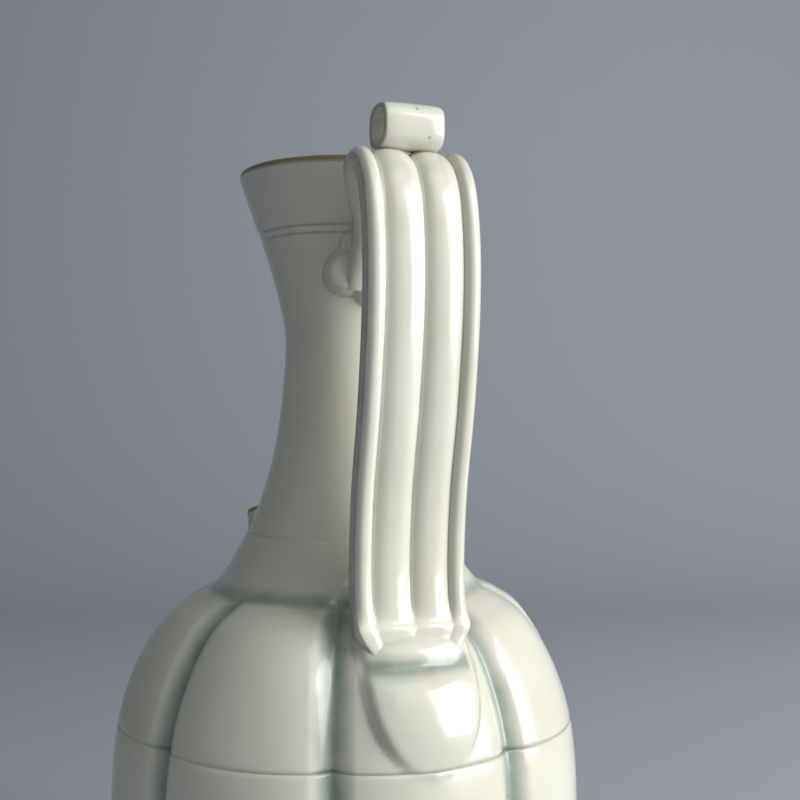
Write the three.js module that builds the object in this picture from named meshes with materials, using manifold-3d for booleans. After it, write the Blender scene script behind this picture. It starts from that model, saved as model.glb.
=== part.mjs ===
import * as THREE from 'three';
import { mergeVertices } from 'three/addons/utils/BufferGeometryUtils.js';
import Module from 'manifold-3d';

// A melon-shaped ewer of glazed porcelain: an eight-lobed body in two luted halves, a trumpet neck,
// a short spout on +X, and on -X a strap handle with four ribs that carries a rolled loop for a lid cord.
// Millimetres, +Z up. The vessel's axis is worked at x = 0, and the finished group is moved in x so that
// its origin is the centre of the box's base.

// Body
const LOBES = 8;
const BODY_RADIUS = 44.5;
const BODY_WALL = 3.6;
const FLOOR_THICKNESS = 5;
const WIDEST_HEIGHT = 52;
const SEAM_HEIGHT = 66;
const SEAM_RADIUS = 43.3;
const LOBE_SWELL = 1.5;
const GROOVE_DEPTH = 1.2;
const GROOVE_HALF_WIDTH = 2.2;
const LOBE_RUN_OUT = 9;

// Foot
const FOOT_HEIGHT = 6;
const FOOT_RADIUS = 24.5;
const FOOT_WIDTH = 4.5;
const FOOT_BEVEL = 0.6;

// Neck
const SEAT_HEIGHT = 88;
const SEAT_RADIUS = 25;
const NECK_BASE_RADIUS = 22.6;
const NECK_WAIST_RADIUS = 11.9;
const NECK_WAIST_HEIGHT = 137;
const NECK_WALL = 2.6;
const MOUTH_RADIUS = 20.6;
const RIM_HEIGHT = 168;
const LINE_HEIGHT = 156;
const LINE_SPACING = 1.3;
const LINE_DEPTH = 0.45;
const SHOULDER_LIP = 1.6;

// Handle
const STRAP_WIDTH = 20;
const STRAP_THICKNESS = 4.6;
const RIB_HEIGHT = 1.1;
const BROAD_RIB = 6.6;
const STRAP_REACH = 37.8;
const ARCH_RADIUS = 31;
const ARCH_HEIGHT = 165;
const PAD_THICKNESS = 2.2;
const PAD_HALF_WIDTH = 8;
const PAD_HEIGHT = 12;
const PAD_CENTRE_HEIGHT = 150;
const TONGUE_THICKNESS = 2.2;
const TONGUE_HALF_WIDTH = 9.3;
const TONGUE_TOP = 87;
const TONGUE_SHOULDER = 78;
const TONGUE_TIP = 65;

// Loop for the lid's cord
const LOOP_LENGTH = 12;
const LOOP_HALF_HEIGHT = 4;
const LOOP_HALF_DEPTH = 4.6;
const LOOP_WALL = 1.5;

// Spout
const SPOUT_BASE_RADIUS = 8;
const SPOUT_TIP_RADIUS = 5;
const SPOUT_WALL = 1.3;
const SPOUT_REACH = 58.5;
const SPOUT_TIP_HEIGHT = 99;
const SPOUT_ROOT_HEIGHT = 72;

// Luting slip and fits
const SLIP_HEIGHT = 1.8;
const SLIP_WIDTH = 1.8;
const BAND_HEIGHT = 3.2;
const BAND_THICKNESS = 1.2;
const CLEARANCE = 0.3;

// Facets
const BODY_SEGMENTS = 48;
const NECK_SEGMENTS = 32;
const TUBE_SIDES = 12;
const OUTLINE_STEPS = 8;

const wasm = await Module();
wasm.setup();

const point = (radius, height) => new THREE.Vector2(radius, height);
const smooth = (value, from, to) => THREE.MathUtils.smoothstep(value, from, to);

// The signed volume tells whether a closed surface faces outwards.
function signedVolume(positions, index) {
  const [a, b, c] = [new THREE.Vector3(), new THREE.Vector3(), new THREE.Vector3()];
  let volume = 0;
  for (let i = 0; i < index.length; i += 3) {
    a.fromArray(positions, 3 * index[i]);
    b.fromArray(positions, 3 * index[i + 1]);
    c.fromArray(positions, 3 * index[i + 2]);
    volume += a.dot(b.cross(c)) / 6;
  }
  return volume;
}

// Turns a closed three.js geometry into a solid that can be cut and joined.
function solid(geometry) {
  geometry.deleteAttribute('normal');
  geometry.deleteAttribute('uv');
  const merged = mergeVertices(geometry, 1e-4);
  const positions = merged.attributes.position.array;
  const source = merged.index.array;
  const kept = [];
  for (let i = 0; i < source.length; i += 3) {
    const [a, b, c] = [source[i], source[i + 1], source[i + 2]];
    if (a !== b && b !== c && c !== a) kept.push(a, b, c);
  }
  if (signedVolume(positions, kept) < 0) kept.reverse();
  const mesh = new wasm.Mesh({
    numProp: 3,
    vertProperties: new Float32Array(positions),
    triVerts: new Uint32Array(kept),
  });
  return new wasm.Manifold(mesh);
}

function toGeometry(manifold) {
  const mesh = manifold.getMesh();
  const geometry = new THREE.BufferGeometry();
  geometry.setAttribute('position', new THREE.BufferAttribute(mesh.vertProperties, 3));
  geometry.setIndex(new THREE.BufferAttribute(mesh.triVerts, 1));
  geometry.computeVertexNormals();
  return geometry;
}

// How far the melon's surface lies inside its crest circle at one azimuth: a round swell with a narrow
// groove between lobes. It fades out towards the foot and the neck's seat, where the body is round.
function lobeDrop(azimuth, radius) {
  const pitch = (2 * Math.PI) / LOBES;
  const fromGroove = THREE.MathUtils.euclideanModulo(azimuth, pitch) - pitch / 2;
  const arc = radius * fromGroove;
  const swell = LOBE_SWELL * (1 - Math.sin(Math.abs(fromGroove) * (Math.PI / pitch)));
  const groove = GROOVE_DEPTH * Math.exp(-((arc / GROOVE_HALF_WIDTH) ** 2));
  return (swell + groove) * smooth(radius, SEAT_RADIUS, SEAT_RADIUS + LOBE_RUN_OUT);
}

// Revolves a profile of (radius, height) points round +Z, and draws the lobes in where asked.
function revolve(profile, segments, lobed = false) {
  const geometry = new THREE.LatheGeometry(profile, segments);
  geometry.rotateX(Math.PI / 2);
  const positions = geometry.attributes.position;
  for (let i = 0; lobed && i < positions.count; i += 1) {
    const [x, y] = [positions.getX(i), positions.getY(i)];
    const radius = Math.hypot(x, y);
    const share = radius > 0 ? 1 - lobeDrop(Math.atan2(y, x), radius) / radius : 1;
    positions.setXY(i, x * share, y * share);
  }
  return solid(geometry);
}

// Moves each point of an open profile along its normal; a positive distance is away from the axis.
function offsetProfile(profile, distance) {
  return profile.map((p, i) => {
    const before = profile[Math.max(i - 1, 0)];
    const after = profile[Math.min(i + 1, profile.length - 1)];
    const along = after.clone().sub(before).normalize();
    return point(p.x + along.y * distance, p.y - along.x * distance);
  });
}

function sample(curve, from, to, steps) {
  const points = [];
  for (let i = 0; i <= steps; i += 1) points.push(curve.getPoint(from + ((to - from) * i) / steps));
  return points;
}

// Body outline, from the foot over the widest line and the seam to the lip round the neck's seat.
const bodyKeys = [
  point(FOOT_RADIUS, FOOT_HEIGHT),
  point(BODY_RADIUS - 11.5, FOOT_HEIGHT + 5.5),
  point(BODY_RADIUS - 4.5, FOOT_HEIGHT + 16),
  point(BODY_RADIUS - 0.9, WIDEST_HEIGHT - 16),
  point(BODY_RADIUS, WIDEST_HEIGHT),
  point(SEAM_RADIUS, SEAM_HEIGHT),
  point(SEAM_RADIUS - 3.3, SEAT_HEIGHT - 11.5),
  point(SEAM_RADIUS - 8.8, SEAT_HEIGHT - 3),
  point(SEAT_RADIUS + 4.5, SEAT_HEIGHT + SHOULDER_LIP - 0.4),
  point(SEAT_RADIUS + 1.5, SEAT_HEIGHT + SHOULDER_LIP),
  point(SEAT_RADIUS, SEAT_HEIGHT),
];
const bodyCurve = new THREE.SplineCurve(bodyKeys);
const SEAM_SHARE = 0.5;
const LOWER_STEPS = 8;
const UPPER_STEPS = 8;
const lowerOutline = sample(bodyCurve, 0, SEAM_SHARE, LOWER_STEPS);
const upperOutline = sample(bodyCurve, SEAM_SHARE, 1, UPPER_STEPS);
const bodyOutline = [...lowerOutline, ...upperOutline.slice(1)];
const neckHoleRadius = NECK_BASE_RADIUS - NECK_WALL - 1;

// The body's outer form as a plug, grown by a clearance or a thickness, to fit other pieces against it.
function bodyPlug(growth) {
  const grown = offsetProfile(bodyOutline, growth);
  const bottom = grown[0];
  const top = grown[grown.length - 1];
  return revolve([point(0, bottom.y), ...grown, point(0, top.y)], BODY_SEGMENTS, true);
}

// Neck outline, from its base through the waist to the mouth.
const neckKeys = [
  point(NECK_BASE_RADIUS, SEAT_HEIGHT),
  point(NECK_BASE_RADIUS - 2.4, SEAT_HEIGHT + 8),
  point(NECK_WAIST_RADIUS + 4.6, SEAT_HEIGHT + 18.5),
  point(NECK_WAIST_RADIUS + 2, NECK_WAIST_HEIGHT - 21),
  point(NECK_WAIST_RADIUS + 0.5, NECK_WAIST_HEIGHT - 10),
  point(NECK_WAIST_RADIUS, NECK_WAIST_HEIGHT),
  point(NECK_WAIST_RADIUS + 1.3, NECK_WAIST_HEIGHT + 7.5),
  point(MOUTH_RADIUS - 5.3, RIM_HEIGHT - 16),
  point(MOUTH_RADIUS - 3, RIM_HEIGHT - 9.5),
  point(MOUTH_RADIUS - 0.9, RIM_HEIGHT - 3.5),
  point(MOUTH_RADIUS, RIM_HEIGHT - 0.8),
];
const neckCurve = new THREE.SplineCurve(neckKeys);
const NECK_STEPS = 14;
const neckOutline = sample(neckCurve, 0, 1, NECK_STEPS);

function neckRadiusAt(height) {
  const above = neckOutline.findIndex((p) => p.y >= height);
  const [low, high] = [neckOutline[above - 1], neckOutline[above]];
  return THREE.MathUtils.mapLinear(height, low.y, high.y, low.x, high.x);
}

function neckPlug(growth) {
  const grown = offsetProfile(neckOutline, growth);
  const bottom = grown[0];
  const top = grown[grown.length - 1];
  return revolve([point(0, bottom.y), ...grown, point(0, top.y)], NECK_SEGMENTS);
}

function footRing() {
  const inner = FOOT_RADIUS - FOOT_WIDTH;
  return revolve([
    point(inner + FOOT_BEVEL, 0),
    point(FOOT_RADIUS - 2 * FOOT_BEVEL, 0),
    point(FOOT_RADIUS - FOOT_BEVEL, FOOT_BEVEL),
    point(FOOT_RADIUS, FOOT_HEIGHT),
    point(inner, FOOT_HEIGHT),
    point(inner, FOOT_BEVEL),
    point(inner + FOOT_BEVEL, 0),
  ], BODY_SEGMENTS);
}

function lowerBody() {
  const inside = offsetProfile(lowerOutline, -BODY_WALL).filter((p) => p.y > FOOT_HEIGHT + FLOOR_THICKNESS);
  inside[inside.length - 1].y = SEAM_HEIGHT;
  return revolve([
    point(0, FOOT_HEIGHT),
    ...lowerOutline,
    ...inside.reverse(),
    point(0, FOOT_HEIGHT + FLOOR_THICKNESS),
  ], BODY_SEGMENTS, true);
}

function upperBody() {
  const ceiling = SEAT_HEIGHT - BODY_WALL;
  const inside = offsetProfile(upperOutline, -BODY_WALL);
  const walls = inside.filter((p) => p.y < ceiling && p.x > SEAT_RADIUS);
  walls[0].y = SEAM_HEIGHT;
  return revolve([
    ...upperOutline,
    point(neckHoleRadius, SEAT_HEIGHT),
    point(neckHoleRadius, ceiling),
    ...walls.reverse(),
    upperOutline[0].clone(),
  ], BODY_SEGMENTS, true);
}

// The pair of fine incised lines is two shallow notches in the neck's outline.
function withLines(outline) {
  const reach = 1.5 * LINE_SPACING;
  const below = outline.filter((p) => p.y < LINE_HEIGHT - reach);
  const above = outline.filter((p) => p.y > LINE_HEIGHT + reach);
  const notches = [-1, -0.5, 0, 0.5, 1].map((step, i) => {
    const height = LINE_HEIGHT + step * LINE_SPACING;
    return point(neckRadiusAt(height) - (i % 2) * LINE_DEPTH, height);
  });
  return [...below, ...notches, ...above];
}

function neck() {
  const inside = offsetProfile(neckOutline, -NECK_WALL);
  inside[0].y = SEAT_HEIGHT;
  const lip = point(MOUTH_RADIUS - NECK_WALL / 2, RIM_HEIGHT);
  return revolve([
    ...withLines(neckOutline),
    lip,
    ...inside.reverse(),
    neckOutline[0].clone(),
  ], NECK_SEGMENTS);
}

// A round tube of changing radius along a curve in the XZ plane, closed at both ends.
function taperedTube(curve, startRadius, endRadius, steps) {
  const positions = [];
  const index = [];
  for (let i = 0; i <= steps; i += 1) {
    const share = i / steps;
    const centre = curve.getPoint(share);
    const tangent = curve.getTangent(share);
    const side = point(-tangent.y, tangent.x);
    const radius = THREE.MathUtils.lerp(startRadius, endRadius, smooth(share, 0, 1));
    for (let j = 0; j < TUBE_SIDES; j += 1) {
      const turn = (2 * Math.PI * j) / TUBE_SIDES;
      const out = radius * Math.cos(turn);
      positions.push(centre.x + side.x * out, radius * Math.sin(turn), centre.y + side.y * out);
    }
  }
  for (let i = 0; i < steps; i += 1) {
    for (let j = 0; j < TUBE_SIDES; j += 1) {
      const [a, b] = [i * TUBE_SIDES + j, i * TUBE_SIDES + ((j + 1) % TUBE_SIDES)];
      index.push(a, b, a + TUBE_SIDES, b, b + TUBE_SIDES, a + TUBE_SIDES);
    }
  }
  const last = steps * TUBE_SIDES;
  for (let j = 1; j < TUBE_SIDES - 1; j += 1) {
    index.push(0, j + 1, j, last, last + j, last + j + 1);
  }
  const geometry = new THREE.BufferGeometry();
  geometry.setAttribute('position', new THREE.Float32BufferAttribute(positions, 3));
  geometry.setIndex(index);
  return solid(geometry);
}

// The spout leaves the upper half above the seam and rises away from the body.
const SPOUT_STEPS = 8;
const spoutCurve = new THREE.CubicBezierCurve(
  point(SEAM_RADIUS - 11, SPOUT_ROOT_HEIGHT),
  point(SPOUT_REACH - 10, SPOUT_ROOT_HEIGHT + 3),
  point(SPOUT_REACH - 5, SPOUT_TIP_HEIGHT - 12),
  point(SPOUT_REACH, SPOUT_TIP_HEIGHT),
);
const boreStart = spoutCurve.v0.clone().add(point(-8, -1));
const boreEnd = spoutCurve.v3.clone().add(spoutCurve.getTangent(1));
const boreCurve = new THREE.CubicBezierCurve(boreStart, spoutCurve.v1, spoutCurve.v2, boreEnd);

function spoutForm(growth) {
  return taperedTube(spoutCurve, SPOUT_BASE_RADIUS + growth, SPOUT_TIP_RADIUS + growth, SPOUT_STEPS);
}

function spoutBore() {
  const [start, end] = [SPOUT_BASE_RADIUS - SPOUT_WALL, SPOUT_TIP_RADIUS - SPOUT_WALL];
  return taperedTube(boreCurve, start, end, SPOUT_STEPS);
}

function spoutLuting() {
  const collar = spoutForm(SLIP_WIDTH).subtract(spoutForm(CLEARANCE));
  return collar.intersect(bodyPlug(SLIP_HEIGHT)).subtract(bodyPlug(CLEARANCE));
}

function neckLuting() {
  const inner = NECK_BASE_RADIUS + CLEARANCE;
  return revolve([
    point(inner, SEAT_HEIGHT),
    point(inner + SLIP_WIDTH, SEAT_HEIGHT),
    point(inner + 0.7 * SLIP_WIDTH, SEAT_HEIGHT + 0.7 * SLIP_HEIGHT),
    point(inner, SEAT_HEIGHT + SLIP_HEIGHT),
    point(inner, SEAT_HEIGHT),
  ], NECK_SEGMENTS);
}

// Slip pressed over the seam inside the belly, which joins the two halves.
function bellyLuting() {
  const outer = SEAM_RADIUS - BODY_WALL - 2 * CLEARANCE;
  const inner = outer - BAND_THICKNESS;
  return revolve([
    point(outer, SEAM_HEIGHT - BAND_HEIGHT / 2),
    point(outer, SEAM_HEIGHT),
    point(outer - CLEARANCE, SEAM_HEIGHT + BAND_HEIGHT / 2),
    point(inner, SEAM_HEIGHT + BAND_HEIGHT / 4),
    point(inner, SEAM_HEIGHT - BAND_HEIGHT / 4),
    point(outer, SEAM_HEIGHT - BAND_HEIGHT / 2),
  ], BODY_SEGMENTS, true);
}

// Strap centreline, from inside the neck over the arch and down to the shoulder.
const strapKeys = [
  point(NECK_WAIST_RADIUS + 1, PAD_CENTRE_HEIGHT - 4),
  point(ARCH_RADIUS - 12.5, PAD_CENTRE_HEIGHT + 4.5),
  point(ARCH_RADIUS - 6, ARCH_HEIGHT - 2.8),
  point(ARCH_RADIUS, ARCH_HEIGHT),
  point(STRAP_REACH - 2, ARCH_HEIGHT - 4.5),
  point(STRAP_REACH, ARCH_HEIGHT - 15),
  point(STRAP_REACH - 0.3, ARCH_HEIGHT - 27),
  point(STRAP_REACH - 2.3, ARCH_HEIGHT - 41),
  point(STRAP_REACH - 5.3, ARCH_HEIGHT - 55),
  point(STRAP_REACH - 6.5, SEAT_HEIGHT + 10),
  point(STRAP_REACH - 4.8, SEAT_HEIGHT),
  point(STRAP_REACH - 1.3, SEAT_HEIGHT - 8),
];
const strapPath = new THREE.CatmullRomCurve3(strapKeys.map((p) => new THREE.Vector3(-p.x, 0, p.y)));
const STRAP_STEPS = 26;

// Strap section: two broad ribs between two narrow edge ribs on the outer face, flat on the inner face.
function strapSection() {
  const half = STRAP_WIDTH / 2;
  const crest = STRAP_THICKNESS / 2;
  const widths = [half - BROAD_RIB, BROAD_RIB, BROAD_RIB, half - BROAD_RIB];
  const shape = new THREE.Shape();
  shape.moveTo(-half, crest - RIB_HEIGHT);
  let left = -half;
  for (const width of widths) {
    for (const share of [0.2, 0.5, 0.8, 1]) {
      shape.lineTo(left + width * share, crest - RIB_HEIGHT * (1 - Math.sin(Math.PI * share)));
    }
    left += width;
  }
  shape.lineTo(half, -crest + 0.8);
  shape.lineTo(half - 0.8, -crest);
  shape.lineTo(-half + 0.8, -crest);
  shape.lineTo(-half, -crest + 0.8);
  return shape;
}

function handleStrap() {
  const options = { steps: STRAP_STEPS, extrudePath: strapPath };
  const strap = solid(new THREE.ExtrudeGeometry(strapSection(), options));
  const atBody = bodyPlug(TONGUE_THICKNESS + CLEARANCE);
  const atNeck = neckPlug(PAD_THICKNESS + CLEARANCE);
  return strap.subtract(atBody).subtract(atNeck);
}

// A prism along X on the handle's side, from an outline drawn in Y and Z.
function prismToHandle(shape, near, far) {
  const options = { depth: far - near, bevelEnabled: false, curveSegments: OUTLINE_STEPS };
  const geometry = new THREE.ExtrudeGeometry(shape, options);
  const facing = new THREE.Matrix4().makeBasis(
    new THREE.Vector3(0, 1, 0),
    new THREE.Vector3(0, 0, 1),
    new THREE.Vector3(1, 0, 0),
  );
  geometry.applyMatrix4(facing);
  geometry.translate(-far, 0, 0);
  return solid(geometry);
}

// The scalloped pad that spreads the strap's upper end over the neck.
function neckPad() {
  const [w, h] = [PAD_HALF_WIDTH, PAD_HEIGHT / 2];
  const shape = new THREE.Shape();
  shape.moveTo(-w * 0.55, h);
  shape.quadraticCurveTo(-w * 1.15, h * 0.9, -w * 0.8, h * 0.25);
  shape.quadraticCurveTo(-w * 1.2, -h * 0.5, -w * 0.5, -h * 0.75);
  shape.quadraticCurveTo(0, -h * 1.5, w * 0.5, -h * 0.75);
  shape.quadraticCurveTo(w * 1.2, -h * 0.5, w * 0.8, h * 0.25);
  shape.quadraticCurveTo(w * 1.15, h * 0.9, w * 0.55, h);
  const prism = prismToHandle(shape, 0, BODY_RADIUS).translate([0, 0, PAD_CENTRE_HEIGHT]);
  return neckPlug(PAD_THICKNESS).subtract(neckPlug(CLEARANCE)).intersect(prism);
}

// The tongue that runs on from the strap down the crest of the lobe under it.
function shoulderTongue() {
  const shape = new THREE.Shape();
  shape.moveTo(-TONGUE_HALF_WIDTH, TONGUE_TOP);
  shape.lineTo(-TONGUE_HALF_WIDTH, TONGUE_SHOULDER);
  const [centre, depth] = [TONGUE_SHOULDER, TONGUE_SHOULDER - TONGUE_TIP];
  shape.absellipse(0, centre, TONGUE_HALF_WIDTH, depth, Math.PI, 2 * Math.PI, false);
  shape.lineTo(TONGUE_HALF_WIDTH, TONGUE_TOP);
  const prism = prismToHandle(shape, NECK_BASE_RADIUS, BODY_RADIUS + 2 * TONGUE_THICKNESS);
  return bodyPlug(TONGUE_THICKNESS).subtract(bodyPlug(CLEARANCE)).intersect(prism);
}

// The rolled strip on top of the arch, open from side to side.
function lidLoop() {
  const shape = new THREE.Shape();
  shape.absellipse(0, 0, LOOP_HALF_DEPTH, LOOP_HALF_HEIGHT, 0, 2 * Math.PI, false);
  const hole = new THREE.Path();
  hole.absellipse(0, 0, LOOP_HALF_DEPTH - LOOP_WALL, LOOP_HALF_HEIGHT - LOOP_WALL, 0, 2 * Math.PI, false);
  shape.holes.push(hole);
  const options = { depth: LOOP_LENGTH, bevelEnabled: false, curveSegments: TUBE_SIDES };
  const geometry = new THREE.ExtrudeGeometry(shape, options);
  geometry.rotateX(Math.PI / 2);
  const seat = ARCH_HEIGHT + STRAP_THICKNESS / 2 + CLEARANCE;
  geometry.translate(-ARCH_RADIUS, LOOP_LENGTH / 2, seat + LOOP_HALF_HEIGHT);
  return solid(geometry);
}

const GLAZE = 0xd8dbcf;
const POOLED_GLAZE = 0xa9b8ab;
const BARE_CLAY = 0xcfc5b0;

function addPiece(group, name, manifold, colour, roughness) {
  const material = new THREE.MeshStandardMaterial({ color: colour, roughness, metalness: 0 });
  const mesh = new THREE.Mesh(toGeometry(manifold), material);
  mesh.name = name;
  group.add(mesh);
}

const bore = spoutBore();
const ewer = new THREE.Group();
addPiece(ewer, 'foot_ring', footRing(), BARE_CLAY, 0.7);
addPiece(ewer, 'lower_body', lowerBody(), GLAZE, 0.15);
addPiece(ewer, 'upper_body', upperBody().subtract(bore), GLAZE, 0.15);
addPiece(ewer, 'belly_luting', bellyLuting().subtract(bore), BARE_CLAY, 0.7);
addPiece(ewer, 'neck', neck(), GLAZE, 0.15);
addPiece(ewer, 'neck_luting', neckLuting(), POOLED_GLAZE, 0.15);
addPiece(ewer, 'spout', spoutForm(0).subtract(bodyPlug(CLEARANCE)).subtract(bore), GLAZE, 0.15);
addPiece(ewer, 'spout_luting', spoutLuting(), POOLED_GLAZE, 0.15);
addPiece(ewer, 'handle_strap', handleStrap(), GLAZE, 0.15);
addPiece(ewer, 'neck_pad', neckPad(), GLAZE, 0.15);
addPiece(ewer, 'shoulder_tongue', shoulderTongue(), GLAZE, 0.15);
addPiece(ewer, 'lid_loop', lidLoop(), GLAZE, 0.15);

const box = new THREE.Box3().setFromObject(ewer);
ewer.position.x = -(box.min.x + box.max.x) / 2;
ewer.updateMatrixWorld(true);

export default ewer;
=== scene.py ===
# %% [markdown]
# A melon-shaped porcelain ewer, dressed in Blender round a fixed CAD frame. The frame gives the vessel's
# axis, and the pieces repeat the frame's sizes round it. The ewer's lengths are written in millimetres and
# turned to metres in one helper. The stage, the lamps and the camera are written in metres.

# %% Load the frame
import math
import bmesh
import bpy
import numpy as np
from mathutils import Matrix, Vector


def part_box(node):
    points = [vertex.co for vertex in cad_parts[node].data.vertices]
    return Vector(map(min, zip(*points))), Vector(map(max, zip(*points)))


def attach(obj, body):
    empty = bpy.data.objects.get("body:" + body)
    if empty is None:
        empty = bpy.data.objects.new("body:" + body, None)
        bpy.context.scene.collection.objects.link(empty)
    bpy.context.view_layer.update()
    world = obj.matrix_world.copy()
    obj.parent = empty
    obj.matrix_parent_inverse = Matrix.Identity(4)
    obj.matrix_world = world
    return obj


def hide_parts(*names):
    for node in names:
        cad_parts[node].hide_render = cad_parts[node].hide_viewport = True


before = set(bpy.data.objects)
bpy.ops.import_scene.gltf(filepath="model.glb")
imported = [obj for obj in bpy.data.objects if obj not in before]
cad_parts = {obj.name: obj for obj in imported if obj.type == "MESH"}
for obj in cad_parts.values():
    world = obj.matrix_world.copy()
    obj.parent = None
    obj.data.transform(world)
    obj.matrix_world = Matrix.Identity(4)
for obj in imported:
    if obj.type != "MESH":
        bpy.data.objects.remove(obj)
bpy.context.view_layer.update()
MM = 0.001
low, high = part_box("neck")
AXIS_X = (low[0] + high[0]) / 2
print("vessel axis at x =", round(AXIS_X, 5))

# %% [markdown]
# The glaze is one recipe on every piece, so it is a node group: a pale greenish white that turns blue-green
# where it runs thick and brownish where it runs thin. Two attributes that each mesh carries, pool and thin,
# say where that is, so the colour follows the modelling as it does in a kiln. The pool attribute also
# carries a painted contact shadow round the tongue, in the same blue-green. Fine dark specks and a slow
# drift of tone come from noise on Object coordinates, in metres, so their scale is real.

# %% The glaze group
PALE = (0.72, 0.71, 0.60, 1)
WARM = (0.66, 0.645, 0.53, 1)
# POOLED is the colour of thick glaze, and also of the painted contact shadow round the tongue.
POOLED = (0.22, 0.285, 0.235, 1)
THIN_EDGE = (0.23, 0.185, 0.10, 1)
SPECK = (0.10, 0.085, 0.05, 1)
# Pattern scales, per metre.
DRIFT_SCALE, WANDER_SCALE, SPECK_SCALE, PEEL_SCALE, WAVE_SCALE = 38, 260, 230, 700, 120
WANDER_SPREAD, RARE_CELL, PEEL_SHARE = 0.35, 0.955, 0.06
GLOSS_SPREAD, GLOSS_BASE = 0.13, 0.11


def add_node(tree, kind, **values):
    node = tree.nodes.new(kind)
    for key, value in values.items():
        if key.startswith("in_"):
            node.inputs[int(key[3:])].default_value = value
        else:
            setattr(node, key, value)
    return node


def mix_colour(tree, factor, first, second):
    node = add_node(tree, "ShaderNodeMix", data_type="RGBA")
    tree.links.new(factor, node.inputs[0])
    for socket, value in ((node.inputs[6], first), (node.inputs[7], second)):
        if isinstance(value, tuple):
            socket.default_value = value
        else:
            tree.links.new(value, socket)
    return node.outputs[2]


def ramp(tree, value, start, end):
    node = add_node(tree, "ShaderNodeMapRange", interpolation_type="SMOOTHSTEP", in_1=start, in_2=end)
    tree.links.new(value, node.inputs[0])
    return node.outputs[0]


def glaze_group():
    tree = bpy.data.node_groups.new("kiln_glaze", "ShaderNodeTree")
    tree.interface.new_socket("Speck Amount", in_out="INPUT", socket_type="NodeSocketFloat")
    tree.interface.new_socket("Color", in_out="OUTPUT", socket_type="NodeSocketColor")
    tree.interface.new_socket("Roughness", in_out="OUTPUT", socket_type="NodeSocketFloat")
    tree.interface.new_socket("Height", in_out="OUTPUT", socket_type="NodeSocketFloat")
    source = tree.nodes.new("NodeGroupInput")
    out = tree.nodes.new("NodeGroupOutput")
    place = tree.nodes.new("ShaderNodeTexCoord").outputs["Object"]
    pool = add_node(tree, "ShaderNodeAttribute", attribute_name="pool").outputs["Fac"]
    thin = add_node(tree, "ShaderNodeAttribute", attribute_name="thin").outputs["Fac"]

    drift = add_node(tree, "ShaderNodeTexNoise")
    drift.inputs["Scale"].default_value = DRIFT_SCALE
    drift.inputs["Detail"].default_value = 3
    tree.links.new(place, drift.inputs["Vector"])
    colour = mix_colour(tree, ramp(tree, drift.outputs["Fac"], 0.42, 0.72), PALE, WARM)

    # The pooled edge wanders a little, as a thick glaze does.
    wander = add_node(tree, "ShaderNodeTexNoise")
    wander.inputs["Scale"].default_value = WANDER_SCALE
    tree.links.new(place, wander.inputs["Vector"])
    uneven = add_node(tree, "ShaderNodeMath", operation="MULTIPLY_ADD", in_1=WANDER_SPREAD,
                      in_2=-WANDER_SPREAD / 2)
    tree.links.new(wander.outputs["Fac"], uneven.inputs[0])
    pooled = add_node(tree, "ShaderNodeMath", operation="ADD")
    tree.links.new(pool, pooled.inputs[0])
    tree.links.new(uneven.outputs[0], pooled.inputs[1])
    # Thick glaze turns towards POOLED here, and so does the painted contact shadow round the tongue, which
    # rides on the same attribute.
    colour = mix_colour(tree, ramp(tree, pooled.outputs[0], 0.12, 1.05), colour, POOLED)
    colour = mix_colour(tree, ramp(tree, thin, 0.1, 1.0), colour, THIN_EDGE)

    cells = add_node(tree, "ShaderNodeTexVoronoi")
    cells.inputs["Scale"].default_value = SPECK_SCALE
    tree.links.new(place, cells.inputs["Vector"])
    near = ramp(tree, cells.outputs["Distance"], 0.085, 0.05)
    chosen = add_node(tree, "ShaderNodeSeparateColor")
    tree.links.new(cells.outputs["Color"], chosen.inputs[0])
    rare = add_node(tree, "ShaderNodeMath", operation="GREATER_THAN", in_1=RARE_CELL)
    tree.links.new(chosen.outputs[0], rare.inputs[0])
    both = add_node(tree, "ShaderNodeMath", operation="MULTIPLY")
    tree.links.new(near, both.inputs[0])
    tree.links.new(rare.outputs[0], both.inputs[1])
    scaled = add_node(tree, "ShaderNodeMath", operation="MULTIPLY")
    tree.links.new(both.outputs[0], scaled.inputs[0])
    tree.links.new(source.outputs["Speck Amount"], scaled.inputs[1])
    colour = mix_colour(tree, scaled.outputs[0], colour, SPECK)
    tree.links.new(colour, out.inputs["Color"])

    gloss = add_node(tree, "ShaderNodeMath", operation="MULTIPLY_ADD", in_1=GLOSS_SPREAD, in_2=GLOSS_BASE)
    tree.links.new(drift.outputs["Fac"], gloss.inputs[0])
    tree.links.new(gloss.outputs[0], out.inputs["Roughness"])

    # Height: slow waves from throwing and trimming, and a fine orange peel.
    peel = add_node(tree, "ShaderNodeTexNoise")
    peel.inputs["Scale"].default_value = PEEL_SCALE
    tree.links.new(place, peel.inputs["Vector"])
    peel_part = add_node(tree, "ShaderNodeMath", operation="MULTIPLY", in_1=PEEL_SHARE)
    tree.links.new(peel.outputs["Fac"], peel_part.inputs[0])
    waves = add_node(tree, "ShaderNodeTexNoise")
    waves.inputs["Scale"].default_value = WAVE_SCALE
    tree.links.new(place, waves.inputs["Vector"])
    height = add_node(tree, "ShaderNodeMath", operation="ADD")
    tree.links.new(waves.outputs["Fac"], height.inputs[0])
    tree.links.new(peel_part.outputs[0], height.inputs[1])
    tree.links.new(height.outputs[0], out.inputs["Height"])
    return tree


GLAZE_TREE = glaze_group()
print("glaze group:", len(GLAZE_TREE.nodes), "nodes")

# %% [markdown]
# The material places the group and adds the shader. A clear coat gives the sharp window reflections, and a
# little subsurface light softens the edges as in real porcelain. Bare clay on the foot is matt and warm.

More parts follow.
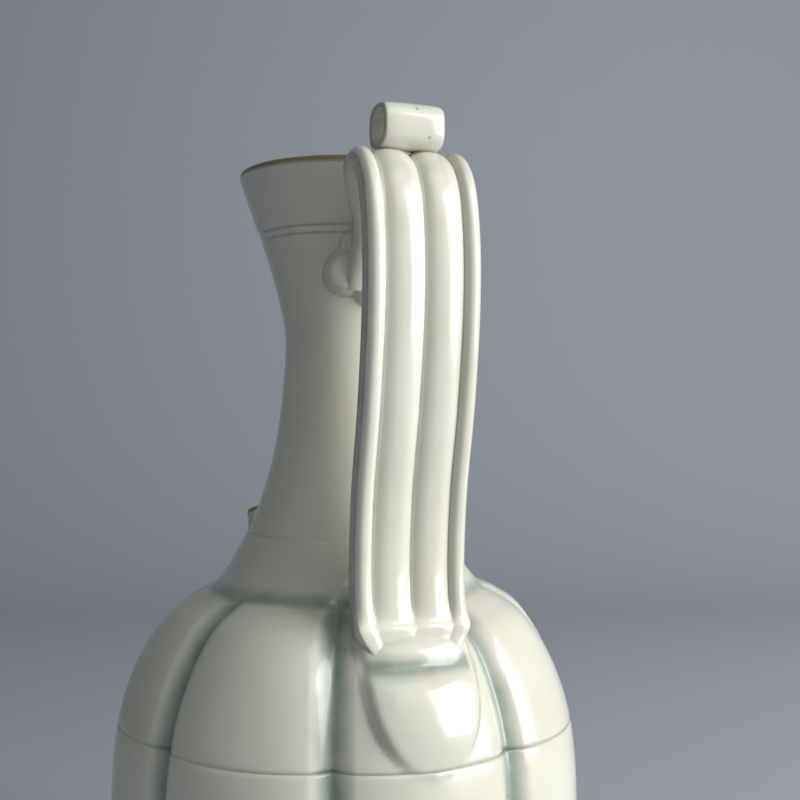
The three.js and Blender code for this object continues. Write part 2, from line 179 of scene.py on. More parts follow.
# %% The two finishes
GLAZE_BUMP = 0.22
GLAZE_BUMP_DISTANCE = 0.00022
CLAY_LIGHT, CLAY_DARK = (0.56, 0.47, 0.34, 1), (0.36, 0.26, 0.16, 1)
GRIT_SCALE, GRIT_BUMP, GRIT_BUMP_DISTANCE = 900, 0.4, 0.0002


def glaze_material(name, speck_amount):
    material = bpy.data.materials.new(name)
    material.use_nodes = True
    tree = material.node_tree
    shader = tree.nodes["Principled BSDF"]
    shader.inputs["IOR"].default_value = 1.5
    shader.inputs["Coat Weight"].default_value = 0.3
    shader.inputs["Coat Roughness"].default_value = 0.09
    shader.inputs["Subsurface Weight"].default_value = 0.12
    shader.inputs["Subsurface Radius"].default_value = (0.9, 1.0, 0.8)
    shader.inputs["Subsurface Scale"].default_value = 0.0012
    group = tree.nodes.new("ShaderNodeGroup")
    group.node_tree = GLAZE_TREE
    group.inputs["Speck Amount"].default_value = speck_amount
    bump = add_node(tree, "ShaderNodeBump")
    bump.inputs["Strength"].default_value = GLAZE_BUMP
    bump.inputs["Distance"].default_value = GLAZE_BUMP_DISTANCE
    tree.links.new(group.outputs["Color"], shader.inputs["Base Color"])
    tree.links.new(group.outputs["Roughness"], shader.inputs["Roughness"])
    tree.links.new(group.outputs["Height"], bump.inputs["Height"])
    tree.links.new(bump.outputs["Normal"], shader.inputs["Normal"])
    return material


def clay_material():
    material = bpy.data.materials.new("bare_foot_clay")
    material.use_nodes = True
    tree = material.node_tree
    shader = tree.nodes["Principled BSDF"]
    place = tree.nodes.new("ShaderNodeTexCoord").outputs["Object"]
    grit = add_node(tree, "ShaderNodeTexNoise")
    grit.inputs["Scale"].default_value = GRIT_SCALE
    grit.inputs["Detail"].default_value = 5
    tree.links.new(place, grit.inputs["Vector"])
    tint = ramp(tree, grit.outputs["Fac"], 0.35, 0.7)
    colour = mix_colour(tree, tint, CLAY_LIGHT, CLAY_DARK)
    tree.links.new(colour, shader.inputs["Base Color"])
    shader.inputs["Roughness"].default_value = 0.75
    bump = add_node(tree, "ShaderNodeBump")
    bump.inputs["Strength"].default_value = GRIT_BUMP
    bump.inputs["Distance"].default_value = GRIT_BUMP_DISTANCE
    tree.links.new(grit.outputs["Fac"], bump.inputs["Height"])
    tree.links.new(bump.outputs["Normal"], shader.inputs["Normal"])
    return material


BODY_GLAZE = glaze_material("body_glaze", 1.0)
HANDLE_GLAZE = glaze_material("handle_glaze", 0.5)
CLAY = clay_material()
print("materials:", BODY_GLAZE.name, HANDLE_GLAZE.name, CLAY.name)

# %% [markdown]
# Every piece is a grid of points: rings of one count, joined row by row. One helper turns such a grid into
# a closed mesh. Where the rows don't close on themselves, the first and the last ring each get one face.

# %% Grid to mesh
MERGE_DISTANCE, SLIVER_LENGTH = 1e-7, 1e-8


def smooth_step(value, start, end):
    share = np.clip((value - start) / (end - start), 0, 1)
    return share * share * (3 - 2 * share)


def bell(distance, half_width):
    """1 at no distance, falling smoothly to 0 on both sides."""
    return np.exp(-(distance / half_width) ** 2)


def spline(keys, steps_per_span):
    """Uniform Catmull-Rom through the keys, ends included."""
    keys = np.array(keys, float)
    points = []
    for i in range(len(keys) - 1):
        p0, p1 = keys[max(i - 1, 0)], keys[i]
        p2, p3 = keys[i + 1], keys[min(i + 2, len(keys) - 1)]
        for t in np.arange(steps_per_span) / steps_per_span:
            v0, v1 = (p2 - p0) / 2, (p3 - p1) / 2
            curve = (2 * p1 - 2 * p2 + v0 + v1) * t ** 3 + (-3 * p1 + 3 * p2 - 2 * v0 - v1) * t ** 2
            points.append(curve + v0 * t + p1)
    points.append(keys[-1])
    return np.array(points)


def offset(profile, distance):
    along = np.gradient(profile, axis=0)
    along /= np.linalg.norm(along, axis=1)[:, None]
    return profile + distance * np.stack([along[:, 1], -along[:, 0]], axis=1)


def grid_piece(name, rows, material, nodes, pool=None, thin=None, closed_rows=False):
    """rows: array (row, ring, 3) in millimetres. The ring always closes on itself."""
    count, ring = rows.shape[:2]
    flat = rows.reshape(-1, 3) * MM + np.array([AXIS_X, 0, 0])
    quads = []
    for i in range(count if closed_rows else count - 1):
        here, there = i * ring, ((i + 1) % count) * ring
        for j in range(ring):
            k = (j + 1) % ring
            quads.append((here + j, here + k, there + k, there + j))
    if not closed_rows:
        quads.append(tuple(reversed(range(ring))))
        quads.append(tuple((count - 1) * ring + j for j in range(ring)))
    mesh = bpy.data.meshes.new(name)
    mesh.from_pydata(flat.tolist(), [], quads)
    for key, values in (("pool", pool), ("thin", thin)):
        layer = mesh.attributes.new(key, "FLOAT", "POINT")
        data = np.zeros(count * ring) if values is None else np.clip(values, 0, 1).reshape(-1)
        layer.data.foreach_set("value", data.astype(np.float32))
    return finish_piece(name, mesh, material, nodes)


def finish_piece(name, mesh, material, nodes):
    work = bmesh.new()
    work.from_mesh(mesh)
    bmesh.ops.remove_doubles(work, verts=work.verts, dist=MERGE_DISTANCE)
    bmesh.ops.dissolve_degenerate(work, edges=work.edges, dist=SLIVER_LENGTH)
    bmesh.ops.recalc_face_normals(work, faces=work.faces)
    if work.calc_volume(signed=True) < 0:
        bmesh.ops.reverse_faces(work, faces=work.faces)
    work.to_mesh(mesh)
    work.free()
    mesh.shade_smooth()
    mesh.materials.append(material)
    piece = bpy.data.objects.new(name, mesh)
    bpy.context.scene.collection.objects.link(piece)
    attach(piece, "root")
    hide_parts(*nodes)
    print(name, "faces:", len(mesh.polygons))
    return piece


def turn(profile, ring):
    """Revolve (radius, height) pairs; returns radius, height and azimuth, each as (row, ring)."""
    azimuth = np.arange(ring) * 2 * math.pi / ring
    radius = np.repeat(profile[:, :1], ring, axis=1)
    height = np.repeat(profile[:, 1:], ring, axis=1)
    around = np.repeat(azimuth[None, :], len(profile), axis=0)
    return radius, height, around


def to_rows(radius, height, around):
    return np.stack([radius * np.cos(around), radius * np.sin(around), height], axis=2)


print("points closer than", MERGE_DISTANCE, "m are merged")

# %% [markdown]
# The body is a melon with eight lobes. It was pressed or thrown in two halves and luted at a seam, which
# still shows as a faint line. A rule gives the surface: a round swell between grooves and a narrow channel
# in each, fading out at the foot and at the neck. The same rule says where glaze pools, in the channels.

# %% The melon rule
LOBES = 8
FOOT_HEIGHT, SEAM_HEIGHT, SEAT_HEIGHT = 6.0, 66.0, 88.0
SEAT_RADIUS, CREASE_RADIUS, BODY_WALL = 25.0, 25.6, 3.6
LOBE_SWELL, SWELL_POWER = 1.9, 0.8
CHANNEL_DEPTH, CHANNEL_HALF_WIDTH = 1.15, 2.5
RIDGE_HEIGHT, RIDGE_OFFSET, RIDGE_HALF_WIDTH = 0.08, 3.6, 0.7
FADE_BELOW_SEAT, FADE_ABOVE_SEAT = 1.5, 5
CHANNEL_POOL, SLOPE_POOL, SLOPE_POOL_HALF_WIDTH = 0.55, 0.28, 4.0
BODY_KEYS = [(24.5, 6), (33, 11.5), (40, 22), (43.56, 36), (44.46, 52), (43.3, 66),
             (40, 76.5), (34.9, 84.6), (30.2, 88.0), (26.2, 89.9), (23.3, 92.6), (21.2, 96.2), (19.2, 100)]


def lobes(radius, around):
    """Drop of the surface below the crest circle, and how much glaze pools there."""
    pitch = 2 * math.pi / LOBES
    from_groove = np.mod(around, pitch) - pitch / 2
    arc = radius * from_groove
    fade = smooth_step(radius, SEAT_RADIUS - FADE_BELOW_SEAT, SEAT_RADIUS + FADE_ABOVE_SEAT)
    swell = LOBE_SWELL * (1 - np.sin(np.abs(from_groove) * math.pi / pitch) ** SWELL_POWER)
    channel = bell(arc, CHANNEL_HALF_WIDTH)
    ridge = bell(np.abs(arc) - RIDGE_OFFSET, RIDGE_HALF_WIDTH)
    drop = (swell + CHANNEL_DEPTH * channel - RIDGE_HEIGHT * ridge) * fade
    pool = (CHANNEL_POOL * channel + SLOPE_POOL * bell(arc, SLOPE_POOL_HALF_WIDTH)) * fade
    return drop, pool


print("lobes:", LOBES, "each", round(math.degrees(2 * math.pi / LOBES), 1), "degrees wide")

# %% [markdown]
# Where the handle ends, the potter pressed it onto the shoulder and drew the clay down over a lobe as a
# tongue. It is raised from the same surface, so it grows out of the body with no cut line: thick at the top,
# a dip where the strap was pressed, a full belly, and nothing left at the tip.

# %% The tongue on the shoulder
TONGUE_HALF_WIDTH, TONGUE_SHOULDER, TONGUE_TIP = 10.2, 80.0, 65.0
TONGUE_EDGE, TIP_POWER, CROWN_DROP = 1.6, 2.3, 0.35
TIP_RISE, FULL_RISE, FULL_ABOVE_TIP = 0.35, 1.75, 8.5
DIP_HEIGHT, DIP_DEPTH, DIP_HALF_WIDTH = 81.6, 1.1, 1.7
DIP_POOL, DIP_POOL_HALF_WIDTH = 0.8, 1.6
# Painted contact shadow: a thin dark line in the pooled colour just outside the tongue's edge, fading out
# before the tip.
TONGUE_SHADOW, TONGUE_SHADOW_OUT, TONGUE_SHADOW_HALF_WIDTH = 0.55, 0.4, 0.6
TONGUE_FADE = (87, 91)


def tongue(side, height):
    """Rise above the body, and the dip's pooled glaze with a painted contact shadow round the edge, at a
    place given by y and z on the handle's side.
    """
    below = np.clip((TONGUE_SHOULDER - height) / (TONGUE_SHOULDER - TONGUE_TIP), 0, 1)
    half = TONGUE_HALF_WIDTH * np.sqrt(np.clip(1 - below ** TIP_POWER, 0, 1))
    inside = smooth_step(half - np.abs(side), -0.2, TONGUE_EDGE)
    crown = 1 - CROWN_DROP * np.clip(np.abs(side) / TONGUE_HALF_WIDTH, 0, 1) ** 2
    body = TIP_RISE + FULL_RISE * smooth_step(height, TONGUE_TIP - 0.5, TONGUE_TIP + FULL_ABOVE_TIP)
    dip = DIP_DEPTH * bell(height - DIP_HEIGHT, DIP_HALF_WIDTH)
    fade_top = 1 - smooth_step(height, *TONGUE_FADE)
    rise = inside * (body * crown - dip) * fade_top
    pool = DIP_POOL * bell(height - DIP_HEIGHT, DIP_POOL_HALF_WIDTH) * inside
    # Painted contact shadow along the tongue's edge, added to the pooled glaze of the dip.
    edge = TONGUE_SHADOW * bell(half - np.abs(side) + TONGUE_SHADOW_OUT, TONGUE_SHADOW_HALF_WIDTH)
    edge = edge * smooth_step(height, TONGUE_TIP + 0.5, TONGUE_TIP + 3)
    return rise, (pool + edge) * fade_top * (half > 0)


print("tongue:", 2 * TONGUE_HALF_WIDTH, "mm wide, from", DIP_HEIGHT, "down to", TONGUE_TIP, "mm")

# %% [markdown]
# Each half is an outline turned round the axis, down the outside and back along the inner wall. The rule
# for the lobes is applied to both, so the wall keeps its thickness. The tongue, the seam line and the glaze
# in the crease round the neck are added on the outside only.

# %% Half of the body
SEAM_HALF_WIDTH, SEAM_DEPTH, SEAM_POOL = 0.35, 0.09, 0.2
CREASE_HALF_WIDTH, CREASE_POOL, CREASE_LOWEST = 1.8, 0.7, 80
HANDLE_SIDE = -0.3


def body_half(name, profile, inner, poles, material, nodes, ring):
    loop = np.concatenate([profile, inner[::-1]])
    radius, height, around = turn(loop, ring)
    drop, pool = lobes(radius, around)
    outer = np.zeros(len(loop), bool)
    outer[:len(profile)] = True
    pool = np.where(outer[:, None], pool, 0)
    on_handle_side = (np.cos(around) < HANDLE_SIDE) & outer[:, None]
    # The tongue gives pooled glaze in its dip and a painted contact shadow round its edge; both go into the
    # pool attribute.
    rise, tongue_pool_and_shadow = tongue(radius * np.sin(around), height)
    radius = radius - drop + np.where(on_handle_side, rise, 0)
    pool = np.maximum(pool, np.where(on_handle_side, tongue_pool_and_shadow, 0))
    seam = bell(height - SEAM_HEIGHT, SEAM_HALF_WIDTH) * outer[:, None]
    radius = radius - SEAM_DEPTH * seam
    pool = pool + SEAM_POOL * seam
    crease = bell(radius - CREASE_RADIUS, CREASE_HALF_WIDTH) * outer[:, None] * (height > CREASE_LOWEST)
    pool = np.maximum(pool, CREASE_POOL * crease)
    rows = to_rows(radius, height, around)
    return grid_piece(name, rows, material, nodes, pool=pool, closed_rows=not poles)


print("wall:", BODY_WALL, "mm, seam at", SEAM_HEIGHT, "mm")

# %% [markdown]
# The outline is cut in two at the seam. The lower half has the floor, and its rows run out to the axis. The
# upper half is a ring from the seam to a skirt that flares up onto the neck.

# %% The two halves
SPAN_STEPS, SEAM_KEY = 16, 5
AXIS_GAP, FLOOR_RING, FLOOR_TOP = 0.001, 12, 11
INNER_LOWEST, INNER_HIGHEST = 11.2, 84
NECK_HOLE_RADIUS, CEILING, SKIRT_TOP = 18.4, 84.4, 99
LOWER_RING, SHOULDER_RING = 480, 512
OUTLINE = spline(BODY_KEYS, SPAN_STEPS)
SEAM_INDEX = SEAM_KEY * SPAN_STEPS
LOWER, UPPER = OUTLINE[:SEAM_INDEX + 1], OUTLINE[SEAM_INDEX:]

lower_inner = offset(LOWER, -BODY_WALL)
lower_inner = lower_inner[lower_inner[:, 1] > INNER_LOWEST]
lower_inner[-1, 1] = SEAM_HEIGHT
lower_profile = np.concatenate([[(AXIS_GAP, FOOT_HEIGHT), (FLOOR_RING, FOOT_HEIGHT)], LOWER])
lower_inner = np.concatenate([[(AXIS_GAP, FLOOR_TOP), (FLOOR_RING, FLOOR_TOP)], lower_inner])
body_half("belly_lower", lower_profile, lower_inner, True, BODY_GLAZE,
          ["lower_body"], LOWER_RING)

upper_inner = offset(UPPER, -BODY_WALL)
upper_inner = upper_inner[(upper_inner[:, 1] < INNER_HIGHEST) & (upper_inner[:, 0] > SEAT_RADIUS)]
upper_inner[0, 1] = SEAM_HEIGHT
upper_inner = np.concatenate([upper_inner, [(NECK_HOLE_RADIUS, CEILING)]])
upper_profile = np.concatenate([UPPER, [(NECK_HOLE_RADIUS, SKIRT_TOP)]])
body_half("shoulder", upper_profile, upper_inner, False, BODY_GLAZE,
          ["upper_body", "shoulder_tongue"], SHOULDER_RING)

# %% [markdown]
# The neck is a trumpet. Two lines were incised round it on the wheel, and the strap's upper end was spread
# over it as a pad with scalloped lobes. The rim is thin, so the glaze ran off it and the clay shows brown.

# %% The neck
NECK_KEYS = [(22.6, 88), (20.2, 96), (16.5, 106.5), (13.9, 116), (12.4, 127), (11.9, 137),
             (13.2, 144.5), (15.3, 152), (17.6, 158.5), (19.7, 164.5), (20.55, 167.2)]
NECK_WALL, RIM_HEIGHT = 2.3, 168.0
LINES = (155.4, 156.7)
PAD_LOBES = ((0, 153.0, 6.2, 4.2), (-4.4, 148.4, 4.0, 4.4), (4.4, 148.4, 4.0, 4.4), (0, 146.2, 3.6, 4.2))
FAR_FROM_PAD, PAD_RISE, PAD_SLOPE = -9.0, 2.0, 0.6
PAD_POOL, PAD_POOL_OUT, PAD_POOL_HALF_WIDTH = 0.6, 0.05, 0.12
LINE_HALF_WIDTH, LINE_DEPTH, LINE_POOL = 0.3, 0.4, 0.55
NECK_FOOT_POOL, NECK_FOOT_SPAN = 0.9, (92.5, 88.5)
NECK_STEPS, NECK_RING, LIP_STEPS, LIP_RISE = 14, 256, 12, 0.95
THIN_FROM, THIN_FULL = RIM_HEIGHT - 1.3, RIM_HEIGHT - 0.35


def pad(side, height):
    """Rise of the scalloped pad above the neck, and the glaze pooled round its edge."""
    best = np.full(side.shape, FAR_FROM_PAD)
    for y, z, wide, tall in PAD_LOBES:
        best = np.maximum(best, 1 - ((side - y) / wide) ** 2 - ((height - z) / tall) ** 2)
    pool = PAD_POOL * bell(best + PAD_POOL_OUT, PAD_POOL_HALF_WIDTH)
    return PAD_RISE * smooth_step(best, 0, PAD_SLOPE), pool


neck_outer = spline(NECK_KEYS, NECK_STEPS)
neck_inner = offset(neck_outer, -NECK_WALL)
neck_inner[0, 1] = SEAT_HEIGHT
lip_turn = np.linspace(0, math.pi, LIP_STEPS)[1:-1]
lip_mid = (neck_outer[-1] + neck_inner[-1]) / 2
lip_radius = lip_mid[0] + NECK_WALL / 2 * np.cos(lip_turn)
lip = np.stack([lip_radius, lip_mid[1] + LIP_RISE * np.sin(lip_turn)], axis=1)
neck_loop = np.concatenate([neck_outer, lip, neck_inner[::-1]])
radius, height, around = turn(neck_loop, NECK_RING)
is_outer = (np.arange(len(neck_loop)) < len(neck_outer))[:, None]
rise, pad_pool = pad(radius * np.sin(around), height)
on_pad = is_outer & (np.cos(around) < 0)
line_mask = sum(bell(height - z, LINE_HALF_WIDTH) for z in LINES) * is_outer
foot_pool = NECK_FOOT_POOL * (smooth_step(height, *NECK_FOOT_SPAN) * is_outer)
radius = radius + np.where(on_pad, rise, 0) - LINE_DEPTH * line_mask
neck_pool = np.maximum.reduce([np.where(on_pad, pad_pool, 0), LINE_POOL * line_mask, foot_pool])
neck_thin = smooth_step(height, THIN_FROM, THIN_FULL)
grid_piece("trumpet_neck", to_rows(radius, height, around), BODY_GLAZE,
           ["neck", "neck_pad"], pool=neck_pool, thin=neck_thin, closed_rows=True)

# %% [markdown]
# A bead of glaze over the luting slip fills the crease between neck and shoulder, and a band of slip was
# pressed over the seam inside the belly. Both are rings of one small section.

# %% Crease bead and inner band
BEAD_RADIUS, BEAD_HEIGHT, BEAD_SIZE, BEAD_RING, BEAD_POOL = 23.8, 88.9, 0.9, 360, 0.95
BAND_RADIUS, BAND_DEPTH, BAND_RISE, BAND_RING = 38.5, 0.7, 1.6, 240


def ring_piece(name, section, ring, material, nodes, pool_level):
    radius, height, around = turn(np.array(section, float), ring)
    drop = lobes(radius, around)[0]
    grid_piece(name, to_rows(radius - drop, height, around), material, nodes,
               pool=np.full(around.shape, pool_level), closed_rows=True)


bead_turn = np.linspace(0, 2 * math.pi, 24, endpoint=False)
bead = [(BEAD_RADIUS + BEAD_SIZE * math.cos(a), BEAD_HEIGHT + BEAD_SIZE * math.sin(a)) for a in bead_turn]
ring_piece("crease_glaze", bead, BEAD_RING, BODY_GLAZE, ["neck_luting"], BEAD_POOL)

band_turn = np.linspace(0, 2 * math.pi, 20, endpoint=False)
band = [(BAND_RADIUS + BAND_DEPTH * math.cos(a), SEAM_HEIGHT + BAND_RISE * math.sin(a)) for a in band_turn]
ring_piece("seam_band", band, BAND_RING, CLAY, ["belly_luting"], 0)

# %% [markdown]
# The foot ring was trimmed on the wheel and left bare, because glaze would stick it to the kiln shelf.

# %% The foot
FOOT_SECTION = [(20.6, 0), (23.3, 0), (23.8, 0.25), (24.1, 0.8),
                (24.5, 6.05), (20, 6.05), (20, 0.7), (20.2, 0.2)]
FOOT_RING = 240
radius, height, around = turn(np.array(FOOT_SECTION, float), FOOT_RING)
grid_piece("foot", to_rows(radius, height, around), CLAY, ["foot_ring"], closed_rows=True)

# %% [markdown]
# The spout is a tapered tube that leaves the shoulder opposite the handle. Its skirt flares into the body,
# so the join reads as worked clay. The section runs up the outside, over the lip and down the bore.

# %% The spout


def bezier(p0, p1, p2, p3, t):
    p0, p1, p2, p3 = (np.array(p, float) for p in (p0, p1, p2, p3))
    t = np.asarray(t)[:, None]
    return (1 - t) ** 3 * p0 + 3 * t * (1 - t) ** 2 * p1 + 3 * t ** 2 * (1 - t) * p2 + t ** 3 * p3


def tube_rows(centres, radii, ring):
    along = np.gradient(centres, axis=0)
    along /= np.linalg.norm(along, axis=1)[:, None]
    side = np.stack([-along[:, 1], along[:, 0]], axis=1)
    a = np.arange(ring) * 2 * math.pi / ring
    x = centres[:, :1] + side[:, :1] * radii[:, None] * np.cos(a)
    z = centres[:, 1:] + side[:, 1:] * radii[:, None] * np.cos(a)
    return np.stack([x, radii[:, None] * np.sin(a) * np.ones_like(x), z], axis=2)


SPOUT_PATH = ((32.3, 72), (48.5, 75), (53.5, 87), (58.4, 98.7))
SPOUT_ROWS, SPOUT_RING = 60, 72
ROOT_RADIUS, TAPER, SPOUT_WALL = 8, 3.05, 1.3
JOIN_SHARE, FLARE_RISE, FLARE_HALF_LENGTH = 0.2, 1.7, 0.09
JOIN_POOL, JOIN_POOL_HALF_LENGTH, TIP_THIN = 0.8, 0.07, 0.8
run = np.linspace(0, 1, SPOUT_ROWS)
centres = bezier(*SPOUT_PATH, run)
taper = ROOT_RADIUS - TAPER * smooth_step(run, 0, 1)
flare = FLARE_RISE * bell(run - JOIN_SHARE, FLARE_HALF_LENGTH)
outside = tube_rows(centres, taper + flare, SPOUT_RING)
inside = tube_rows(centres, taper - SPOUT_WALL, SPOUT_RING)[::-1]
spout_rows = np.concatenate([outside, inside])
spout_pool = np.zeros(spout_rows.shape[:2])
spout_pool[:SPOUT_ROWS] = (JOIN_POOL * bell(run - JOIN_SHARE, JOIN_POOL_HALF_LENGTH))[:, None]
spout_thin = np.zeros(spout_rows.shape[:2])
spout_thin[SPOUT_ROWS - 2:SPOUT_ROWS + 2] = TIP_THIN
grid_piece("spout_tube", spout_rows, BODY_GLAZE, ["spout", "spout_luting"],
           pool=spout_pool, thin=spout_thin, closed_rows=True)

# %% [markdown]
# The handle is a flat strap with two broad ribs between two narrow ones. It is one section carried along a
# path: up from the neck, over a tight arch, down, and onto the shoulder, where the ribs melt away and a low
# cross ridge marks the potter's press.

# %% The strap
STRAP_KEYS = [(13, 146), (18.5, 154.5), (25, 162.2), (31, 165), (35.8, 160.5), (37.8, 150),
              (37.5, 138), (35.5, 124), (32.5, 110), (31.3, 98), (31.9, 90), (33.6, 83.5), (34.6, 77)]
STRAP_HALF_WIDTH, BROAD_RIB, STRAP_THICKNESS = 10, 6.9, 4.6
RIB_EDGES = (-STRAP_HALF_WIDTH, -BROAD_RIB, 0, BROAD_RIB, STRAP_HALF_WIDTH)
RIB_POINTS, BACK_POINTS, STRAP_STEPS = 14, 18, 22
RIB_DEPTH, RIB_POWER, RIB_LEFT_AT_FOOT = 1.15, 2.6, 0.15
PRESS_FROM_END, PRESS_HALF_LENGTH, PRESS_LEVEL, PRESS_RISE = 9.6, 1.2, 0.9, 0.4
INNER_LEG_SHARE, FOOT_SHARE = 0.5, 0.62
GROOVE_POOL, BACK_POOL, BACK_EDGE_ROUND = 0.62, 0.1, 0.9
section_side, section_rise = [], []
for left, right in zip(RIB_EDGES[:-1], RIB_EDGES[1:]):
    share = np.linspace(0, 1, RIB_POINTS, endpoint=False)
    section_side += list(left + (right - left) * share)
    section_rise += list(-(np.abs(2 * share - 1) ** RIB_POWER))
section_side.append(STRAP_HALF_WIDTH)
section_rise.append(-1)
section_side, section_rise = np.array(section_side), np.array(section_rise)

path = spline(STRAP_KEYS, STRAP_STEPS)
along = np.gradient(path, axis=0)
along /= np.linalg.norm(along, axis=1)[:, None]
outward = np.stack([-along[:, 1], along[:, 0]], axis=1)
travel = np.concatenate([[0], np.cumsum(np.linalg.norm(np.diff(path, axis=0), axis=1))])
to_end = travel[-1] - travel
rib_fade = smooth_step(to_end, 9, 15)
press = PRESS_LEVEL * bell(to_end - PRESS_FROM_END, PRESS_HALF_LENGTH)
inner_width = INNER_LEG_SHARE + (1 - INNER_LEG_SHARE) * smooth_step(travel, 9, 25)
leg_width = inner_width * (FOOT_SHARE + (1 - FOOT_SHARE) * smooth_step(to_end, 3, 10.5))
back = np.linspace(STRAP_HALF_WIDTH, -STRAP_HALF_WIDTH, BACK_POINTS)
back_rise = -STRAP_THICKNESS / 2 + BACK_EDGE_ROUND * (np.abs(back) / STRAP_HALF_WIDTH) ** 6
sides = np.concatenate([section_side, back])
strap_rows, strap_pool = [], []
for i, centre in enumerate(path):
    depth = RIB_DEPTH * (RIB_LEFT_AT_FOOT + (1 - RIB_LEFT_AT_FOOT) * rib_fade[i])
    crest = STRAP_THICKNESS / 2 + press[i] * PRESS_RISE
    front = crest + depth * section_rise
    rise = np.concatenate([front, back_rise])
    point = centre[None, :] + outward[i][None, :] * rise[:, None]
    strap_rows.append(np.stack([-point[:, 0], sides * leg_width[i], point[:, 1]], axis=1))
    groove = smooth_step(-section_rise, 0.72, 1.0) * GROOVE_POOL * rib_fade[i]
    strap_pool.append(np.concatenate([groove, np.full(len(back), BACK_POOL)]))
grid_piece("strap", np.array(strap_rows), HANDLE_GLAZE, ["handle_strap"],
           pool=np.array(strap_pool))

# %% [markdown]
# A strip of clay rolled into a tube sits across the arch. A cord through it would tie the lid on.

# %% The rolled loop
LOOP_CENTRE, LOOP_LENGTH, ROUND = (-31.0, 170.9), 10.6, 0.72
LOOP_OUTER, LOOP_BORE = (4.2, 3.95, 0.07), (2.8, 2.55, -0.1)
LOOP_RING, LOOP_ROWS, LOOP_EDGE_THIN = 72, 25, 0.55
loop_turn = np.arange(LOOP_RING) * 2 * math.pi / LOOP_RING
across = np.linspace(-1, 1, LOOP_ROWS)


def loop_rings(half_depth, half_height, squeeze):
    rings = []
    for share in across:
        ease = 1 - squeeze * np.abs(share) ** 5
        cos, sin = np.cos(loop_turn), np.sin(loop_turn)
        x = LOOP_CENTRE[0] + half_depth * ease * np.sign(cos) * np.abs(cos) ** ROUND
        z = LOOP_CENTRE[1] + half_height * ease * np.sign(sin) * np.abs(sin) ** ROUND
        rings.append(np.stack([x, np.full(LOOP_RING, share * LOOP_LENGTH / 2), z], axis=1))
    return rings


loop_rows = loop_rings(*LOOP_OUTER) + loop_rings(*LOOP_BORE)[::-1]
loop_thin = np.zeros((2 * LOOP_ROWS, LOOP_RING))
loop_thin[[0, LOOP_ROWS - 1, LOOP_ROWS, 2 * LOOP_ROWS - 1]] = LOOP_EDGE_THIN
grid_piece("cord_loop", np.array(loop_rows), HANDLE_GLAZE, ["lid_loop"],
           thin=loop_thin, closed_rows=True)

# %% [markdown]
# The stage is a plain grey floor that sweeps up into a backdrop. A wide soft window on the right is the key,
# with a weak fill on the left and a soft lamp from above, so the left side falls into shade as in a room lit
# from one side.

# %% Stage and light
FLOOR_COLOUR, ROOM_COLOUR, ROOM_STRENGTH = (0.42, 0.44, 0.49, 1), (0.75, 0.82, 0.92, 1), 0.14
FLOOR_NEAR, FLOOR_FAR, CURVE_RADIUS, CURVE_STEPS = -1.2, 0.45, 0.35, 14
BACKDROP_X, BACKDROP_TOP, HALF_WIDTH = 0.8, 2.2, 2.2
AIM_HEIGHT = 0.10


def sweep():
    profile = [(FLOOR_NEAR, 0), (FLOOR_FAR, 0)]
    for angle in np.linspace(0.1, math.pi / 2, CURVE_STEPS):
        x = FLOOR_FAR + CURVE_RADIUS * math.sin(angle)
        profile.append((x, CURVE_RADIUS - CURVE_RADIUS * math.cos(angle)))
    profile.append((BACKDROP_X, BACKDROP_TOP))
    verts, faces = [], []
    for x, z in profile:
        verts += [(x, -HALF_WIDTH, z), (x, HALF_WIDTH, z)]
    for i in range(len(profile) - 1):
        a = 2 * i
        faces.append((a, a + 2, a + 3, a + 1))
    mesh = bpy.data.meshes.new("sweep")
    mesh.from_pydata(verts, [], faces)
    mesh.shade_smooth()
    piece = bpy.data.objects.new("sweep", mesh)
    bpy.context.scene.collection.objects.link(piece)
    material = bpy.data.materials.new("sweep_paint")
    material.use_nodes = True
    shader = material.node_tree.nodes["Principled BSDF"]
    shader.inputs["Base Color"].default_value = FLOOR_COLOUR
    shader.inputs["Roughness"].default_value = 0.9
    mesh.materials.append(material)
    return piece


SWEEP = sweep()
CAMERA_TURN = math.radians(19)
SWEEP.rotation_euler = (0, 0, -CAMERA_TURN)


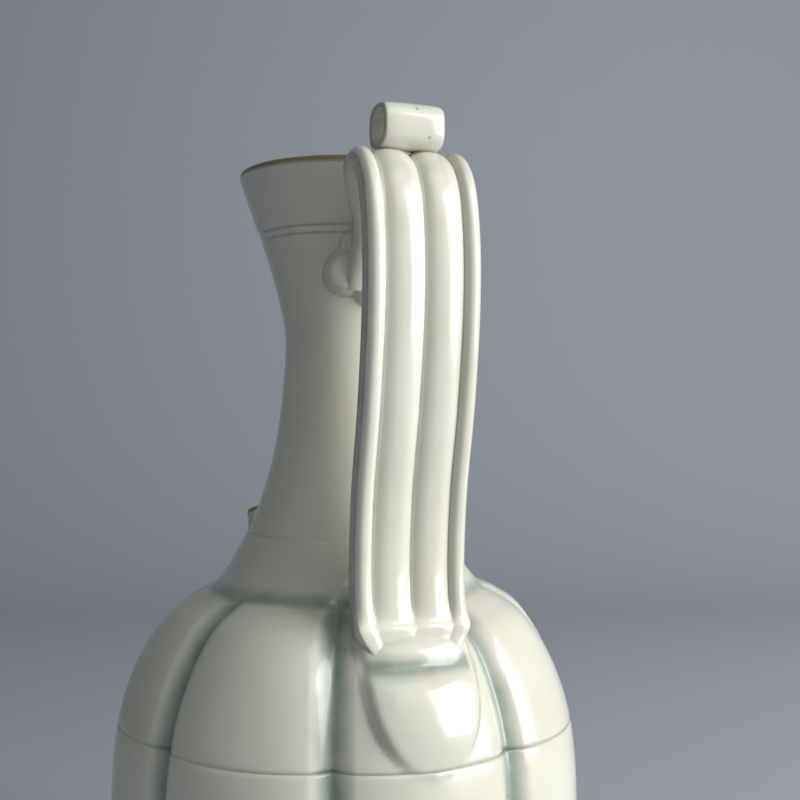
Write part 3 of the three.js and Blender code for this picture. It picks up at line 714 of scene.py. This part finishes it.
def window(name, bearing, distance, height, size, power):
    """Bearing in degrees to the right of the camera's own direction, seen from the ewer."""
    turn_angle = math.pi - CAMERA_TURN + math.radians(bearing)
    lamp = bpy.data.lights.new(name, "AREA")
    lamp.shape = "RECTANGLE"
    lamp.size, lamp.size_y = size
    lamp.energy = power
    obj = bpy.data.objects.new(name, lamp)
    x = AXIS_X + distance * math.cos(turn_angle)
    y = distance * math.sin(turn_angle)
    obj.location = (x, y, height)
    aim = np.array([AXIS_X - x, -y, AIM_HEIGHT - height])
    flat = math.hypot(aim[0], aim[1])
    obj.rotation_euler = (math.atan2(flat, -aim[2]), 0, math.atan2(aim[1], aim[0]) - math.pi / 2)
    bpy.context.scene.collection.objects.link(obj)


window("key_window", 68, 0.75, 0.34, (0.6, 0.7), 8.5)
window("left_fill", -60, 0.9, 0.30, (0.7, 0.7), 0.3)
window("top_soft", 30, 0.8, 1.0, (0.8, 0.8), 3.0)
world = bpy.data.worlds.new("room")
bpy.context.scene.world = world
world.use_nodes = True
world.node_tree.nodes["Background"].inputs["Color"].default_value = ROOM_COLOUR
world.node_tree.nodes["Background"].inputs["Strength"].default_value = ROOM_STRENGTH
bpy.context.scene.view_settings.view_transform = "Standard"
print("lamps:", [lamp.name for lamp in bpy.data.lights])

# %% [markdown]
# The camera looks level at the handle's side from close by, with the handle a little to the right. Its
# place comes from a fit of the rim, the incised line, the seam and the body's edges as circles round one
# axis. It is one of two places that fit about equally well.

# %% Camera
SENSOR_WIDTH = 36
CAMERA_DISTANCE, CAMERA_HEIGHT = 0.2243, 0.1251
FOCAL_PIXELS, FRAME_PIXELS, AXIS_PIXEL = 1157.0, 800.0, 347.0
camera_data = bpy.data.cameras.new("camera")
camera_data.sensor_fit = "HORIZONTAL"
camera_data.sensor_width = SENSOR_WIDTH
camera_data.lens = SENSOR_WIDTH * FOCAL_PIXELS / FRAME_PIXELS
camera_data.clip_start = 0.01
camera = bpy.data.objects.new("camera", camera_data)
bpy.context.scene.collection.objects.link(camera)
bpy.context.scene.camera = camera
bearing = math.pi - CAMERA_TURN
camera.location = (AXIS_X + CAMERA_DISTANCE * math.cos(bearing), CAMERA_DISTANCE * math.sin(bearing),
                   CAMERA_HEIGHT)
look = -CAMERA_TURN - math.atan((FRAME_PIXELS / 2 - AXIS_PIXEL) / FOCAL_PIXELS)
camera.rotation_euler = (math.pi / 2, 0, look - math.pi / 2)
print("camera at", [round(v, 4) for v in camera.location])
